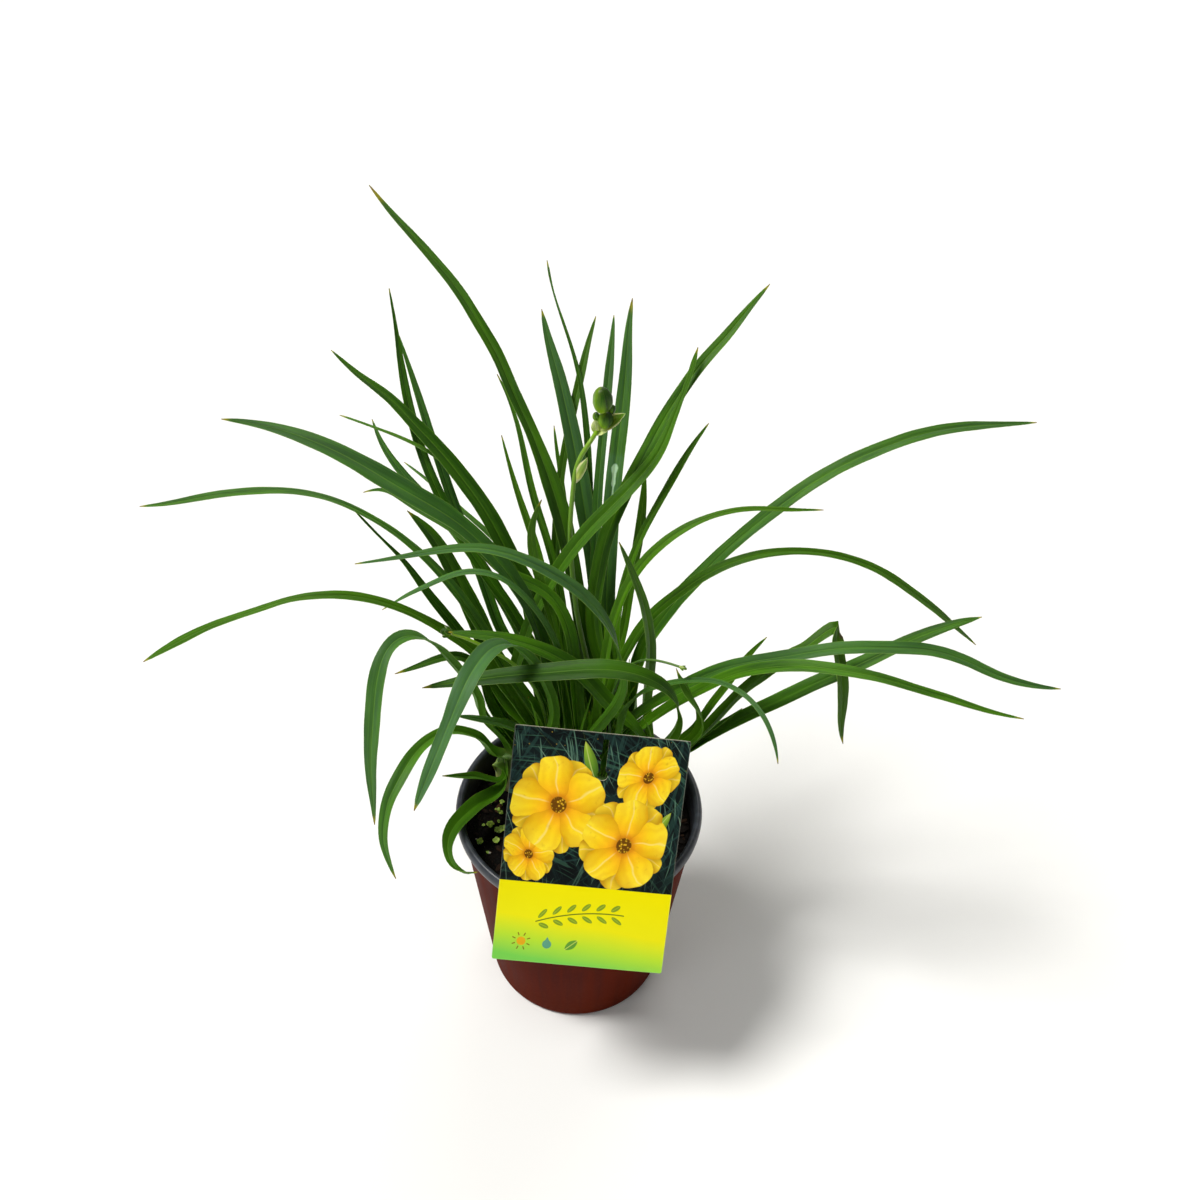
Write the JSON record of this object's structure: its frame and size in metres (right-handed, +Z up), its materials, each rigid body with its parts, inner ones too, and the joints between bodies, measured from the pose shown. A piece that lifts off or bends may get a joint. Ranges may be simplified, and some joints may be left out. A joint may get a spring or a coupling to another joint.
{
  "type": "potted daylily plant",
  "caption": "Clump of arching strap leaves in fans with a budding flower scape, growing in dark potting soil in a tapered nursery pot, with a picture tag leaning on the rim",
  "frame": {"origin": "centre of the pot's flat underside, on the surface it stands on", "axes": "+Z up along the pot; -Y is the front, where the picture tag leans; +X to the right seen from the front"},
  "size_m": [0.5747, 0.338, 0.4949],
  "materials": {
    "leaf": "living strap leaf, satin deep green, a paler midrib, translucent against light",
    "sheath": "folded leaf bases, pale green to cream at the soil",
    "scape": "smooth yellow-green flower stem",
    "bud": "firm closed flower bud, satin yellow-green",
    "bract": "pale papery bract",
    "pot": "moulded terracotta-brown plastic, rim and inside blackish",
    "soil": "moist bark and peat potting mix",
    "tag": "thin printed plastic card"
  },
  "bodies": {
    "root": {"back_fan_crown": "sheath", "back_fan_leaf_1": "leaf", "back_fan_leaf_2": "leaf", "back_fan_leaf_3": "leaf", "back_fan_leaf_4": "leaf", "back_left_fan_crown": "sheath", "back_left_fan_leaf_1": "leaf", "back_left_fan_leaf_2": "leaf", "back_left_fan_leaf_3": "leaf", "back_left_fan_leaf_4": "leaf", "back_left_fan_leaf_5": "leaf", "back_left_fan_leaf_6": "leaf", "back_right_fan_crown": "sheath", "back_right_fan_leaf_1": "leaf", "back_right_fan_leaf_2": "leaf", "back_right_fan_leaf_3": "leaf", "back_right_fan_leaf_4": "leaf", "back_right_fan_leaf_5": "leaf", "bud_lower": "bud", "bud_upper": "bud", "front_left_fan_crown": "sheath", "front_left_fan_leaf_1": "leaf", "front_left_fan_leaf_2": "leaf", "front_left_fan_leaf_3": "leaf", "front_left_fan_leaf_4": "leaf", "front_left_fan_leaf_5": "leaf", "front_left_fan_leaf_6": "leaf", "front_left_fan_leaf_7": "leaf", "left_fan_crown": "sheath", "left_fan_leaf_1": "leaf", "left_fan_leaf_2": "leaf", "left_fan_leaf_3": "leaf", "left_fan_leaf_4": "leaf", "left_fan_leaf_5": "leaf", "left_fan_leaf_7": "leaf", "middle_fan_crown": "sheath", "middle_fan_leaf_1": "leaf", "middle_fan_leaf_2": "leaf", "middle_fan_leaf_3": "leaf", "middle_fan_leaf_4": "leaf", "middle_fan_leaf_5": "leaf", "middle_fan_leaf_6": "leaf", "middle_fan_leaf_7": "leaf", "middle_fan_leaf_8": "leaf", "middle_fan_leaf_9": "leaf", "picture_tag": "tag", "pot": "pot", "right_fan_crown": "sheath", "right_fan_leaf_1": "leaf", "right_fan_leaf_2": "leaf", "right_fan_leaf_3": "leaf", "right_fan_leaf_4": "leaf", "right_fan_leaf_5": "leaf", "right_fan_leaf_6": "leaf", "right_fan_leaf_7": "leaf", "scape": "scape", "scape_bract": "bract", "side_scape": "scape", "soil": "soil", "young_scape": "scape"}
  },
  "joints": []
}
